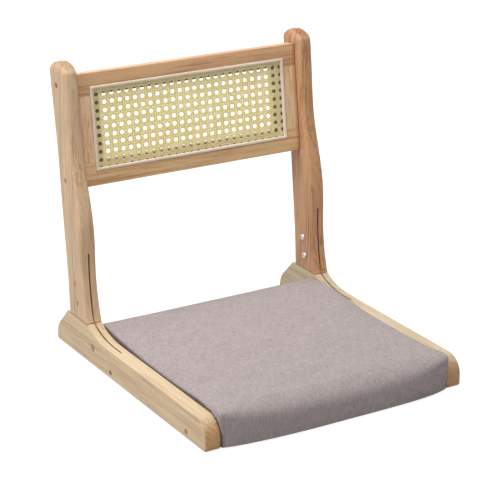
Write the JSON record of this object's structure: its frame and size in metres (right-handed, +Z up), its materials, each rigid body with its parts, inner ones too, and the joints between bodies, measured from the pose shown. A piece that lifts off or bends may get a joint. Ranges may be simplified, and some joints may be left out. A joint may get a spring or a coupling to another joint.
{
  "type": "folding floor chair",
  "caption": "Legless floor chair with an upholstered seat between wooden side rails and a cane-panelled backrest that folds forward over the seat.",
  "frame": {"origin": "on the floor, at the middle of the outline seen from above", "axes": "+Z up; the chair faces -Y; -X is on the left of someone who looks at its front"},
  "size_m": [0.44, 0.4864, 0.4534],
  "materials": {
    "rail_wood": "light hardwood, satin clear coat",
    "post_wood": "light hardwood, satin clear coat",
    "panel_wood": "light hardwood, satin clear coat",
    "bead_wood": "pale hardwood bead, satin",
    "plug_wood": "end-grain plug, satin",
    "dowel_wood": "fluted beech dowel",
    "plywood": "plywood, raw",
    "cane": "woven rattan cane, natural gloss",
    "seat_fabric": "grey-mauve woven upholstery fabric",
    "foam": "polyurethane foam",
    "bottom_cloth": "black non-woven dust cloth",
    "steel": "zinc-plated steel",
    "bright_steel": "bright nickel-plated steel",
    "pivot_steel": "bronzed steel"
  },
  "bodies": {
    "base": {"left_side_rail": "rail_wood", "right_side_rail": "rail_wood", "left_pivot_sleeve": "pivot_steel", "right_pivot_sleeve": "pivot_steel", "left_pivot_screw": "pivot_steel", "right_pivot_screw": "pivot_steel", "seat_board": "plywood", "seat_foam": "foam", "seat_cover": "seat_fabric", "seat_bottom_cloth": "bottom_cloth", "seat_screws": "steel", "seat_screw_plugs": "plug_wood"},
    "backrest": {"left_back_post": "post_wood", "right_back_post": "post_wood", "left_hinge_plate": "steel", "right_hinge_plate": "steel", "left_post_bolts": "bright_steel", "right_post_bolts": "bright_steel", "left_post_nuts": "pivot_steel", "right_post_nuts": "pivot_steel", "back_top_rail": "panel_wood", "back_bottom_rail": "panel_wood", "back_left_stile": "panel_wood", "back_right_stile": "panel_wood", "frame_dowels": "dowel_wood", "cane_webbing": "cane", "top_bead": "bead_wood", "bottom_bead": "bead_wood", "left_bead": "bead_wood", "right_bead": "bead_wood", "panel_screws": "steel", "panel_screw_plugs": "plug_wood"}
  },
  "joints": [
    {"name": "backrest_fold", "type": "hinge", "parent": "base", "child": "backrest", "pos_m": [0, 0.11475, 0.029], "axis": [1, 0, 0], "range_deg": [0, 88]}
  ]
}
